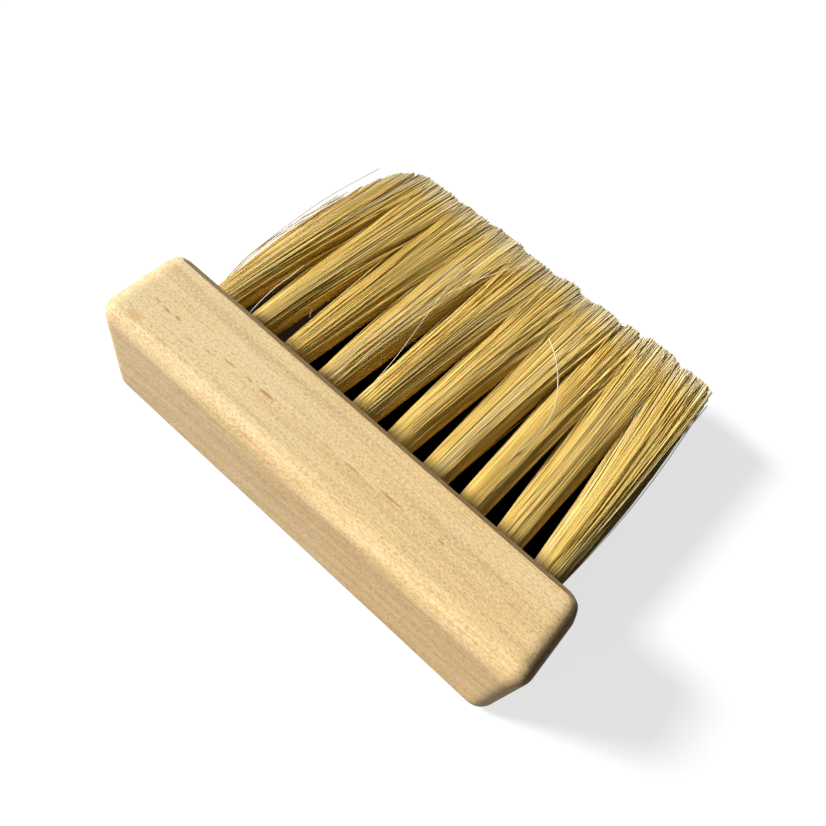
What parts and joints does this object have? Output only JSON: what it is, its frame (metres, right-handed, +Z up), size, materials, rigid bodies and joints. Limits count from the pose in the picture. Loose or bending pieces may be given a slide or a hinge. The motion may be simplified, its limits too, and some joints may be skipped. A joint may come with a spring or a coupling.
{
  "type": "bee brush",
  "caption": "Hand-held bee brush: a rounded wooden block with a row of long soft bristle tufts, used to sweep bees gently off combs.",
  "frame": {"origin": "centre of the block's side face that the brush lies on", "axes": "+X along the block, +Y from the back face towards the bristle tips, +Z up, square to the side face that the brush lies on"},
  "size_m": [0.14, 0.1153, 0.04],
  "materials": {
    "block_wood": "sanded pale beech, unvarnished",
    "bristle": "straw-coloured filament, slightly glossy",
    "anchor_wire": "bright drawn flat wire"
  },
  "bodies": {
    "root": {"block": "block_wood", "tuft_01": "bristle", "tuft_02": "bristle", "tuft_03": "bristle", "tuft_04": "bristle", "tuft_05": "bristle", "tuft_06": "bristle", "tuft_07": "bristle", "tuft_08": "bristle", "tuft_09": "bristle", "tuft_10": "bristle", "anchor_01": "anchor_wire", "anchor_02": "anchor_wire", "anchor_03": "anchor_wire", "anchor_04": "anchor_wire", "anchor_05": "anchor_wire", "anchor_06": "anchor_wire", "anchor_07": "anchor_wire", "anchor_08": "anchor_wire", "anchor_09": "anchor_wire", "anchor_10": "anchor_wire"}
  },
  "joints": []
}
